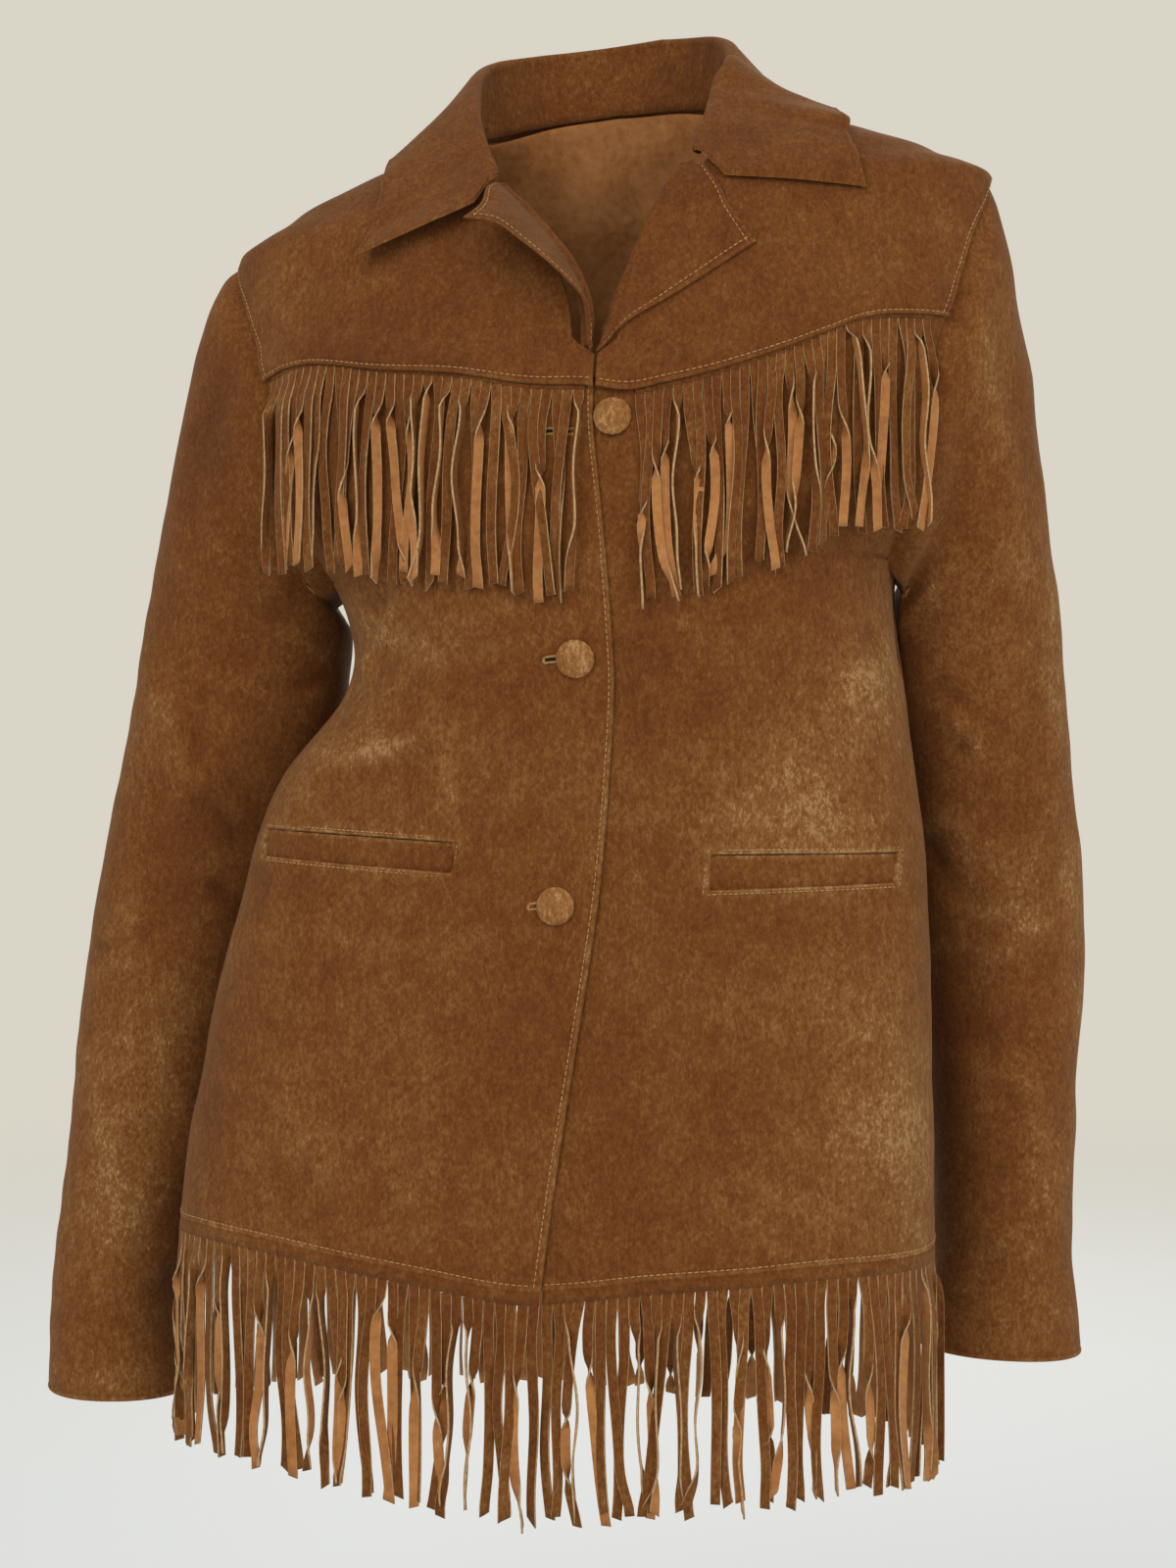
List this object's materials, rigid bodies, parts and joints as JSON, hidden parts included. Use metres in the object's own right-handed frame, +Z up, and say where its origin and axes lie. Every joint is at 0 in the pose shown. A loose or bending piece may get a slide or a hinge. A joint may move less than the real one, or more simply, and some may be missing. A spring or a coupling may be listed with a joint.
{
  "type": "suede jacket",
  "caption": "Suede jacket in its worn, hollow form, with notched collar, fringed yoke and hem, welt pockets and covered buttons.",
  "frame": {"origin": "middle of the base of the wearer's neck, where the jacket is held up", "axes": "+Z up, -Y the way the picture looks at the front, +X to the wearer's left"},
  "size_m": [0.628, 0.2712, 0.8635],
  "materials": {
    "suede": "matte brushed suede",
    "button_suede": "matte suede cover, worn pale",
    "fringe_suede": "matte suede face, smooth orange-tan back"
  },
  "bodies": {
    "root": {"front_left": "suede", "front_right": "suede", "yoke_left": "suede", "yoke_right": "suede", "back": "suede", "sleeve_left": "suede", "sleeve_right": "suede", "lapel_left": "suede", "lapel_right": "suede", "collar": "suede", "welt_left": "suede", "welt_right": "suede", "button_top": "button_suede", "button_middle": "button_suede", "button_bottom": "button_suede", "fringe_yoke_left": "fringe_suede", "fringe_yoke_right": "fringe_suede", "fringe_hem_left": "fringe_suede", "fringe_hem_right": "fringe_suede", "fringe_hem_back": "fringe_suede"}
  },
  "joints": []
}
